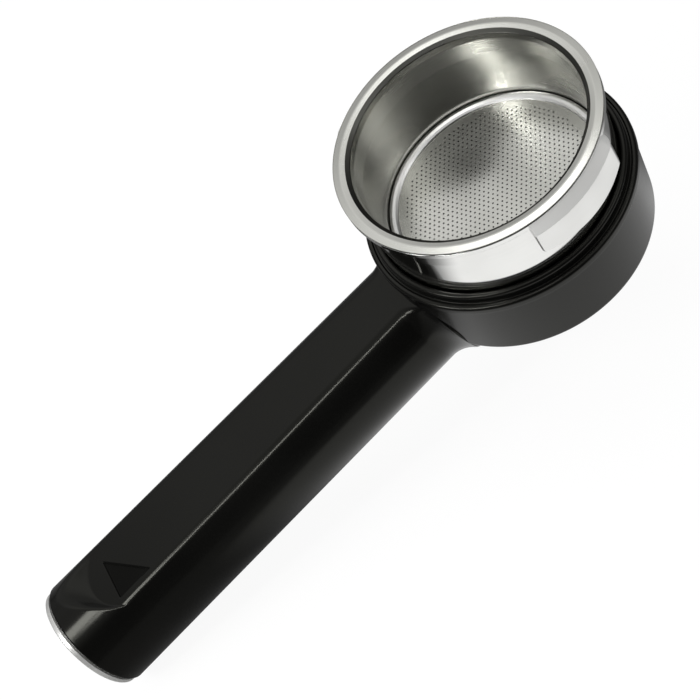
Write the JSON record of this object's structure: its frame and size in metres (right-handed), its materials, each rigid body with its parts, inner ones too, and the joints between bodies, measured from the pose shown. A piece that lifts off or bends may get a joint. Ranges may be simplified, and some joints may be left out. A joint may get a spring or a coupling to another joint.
{
  "type": "portafilter",
  "caption": "Espresso portafilter with a drooping moulded handle, a chromed bayonet holder, a lift-out pressurised filter basket and a divided spout under the bowl.",
  "frame": {"origin": "centre of the basket's rim, in the rim's sealing face, where the machine's group meets it", "axes": "+Z along the cup's axis, out of the cup's mouth; +X towards the handle, which droops below it"},
  "size_m": [0.1689, 0.063, 0.0794],
  "materials": {
    "chromed_casting": "mirror polished",
    "chromed_cap": "polished",
    "steel_sheet": "satin",
    "steel_screen": "satin",
    "spring_wire": "drawn",
    "zinc_steel": "zinc plated",
    "black_plastic": "satin",
    "gloss_black_plastic": "gloss",
    "black_rubber": "matt",
    "red_rubber": "matt"
  },
  "bodies": {
    "holder_and_handle": {"holder": "chromed_casting", "basket_spring": "spring_wire", "collar": "gloss_black_plastic", "shell": "black_plastic", "handle_bolt": "zinc_steel", "lock_washer": "zinc_steel", "bolt_washer": "zinc_steel", "end_cap": "chromed_cap", "cap_ring": "black_rubber", "spout": "black_plastic", "spout_seal": "red_rubber", "shell_screws": "zinc_steel", "screw_washers": "zinc_steel"},
    "filter_basket": {"basket": "steel_sheet", "filter_screen": "steel_screen", "screen_ring": "steel_sheet"}
  },
  "joints": [
    {"name": "basket_lift", "type": "slide", "parent": "holder_and_handle", "child": "filter_basket", "axis": [0, 0, 1], "range_m": [0, 0.03]}
  ]
}
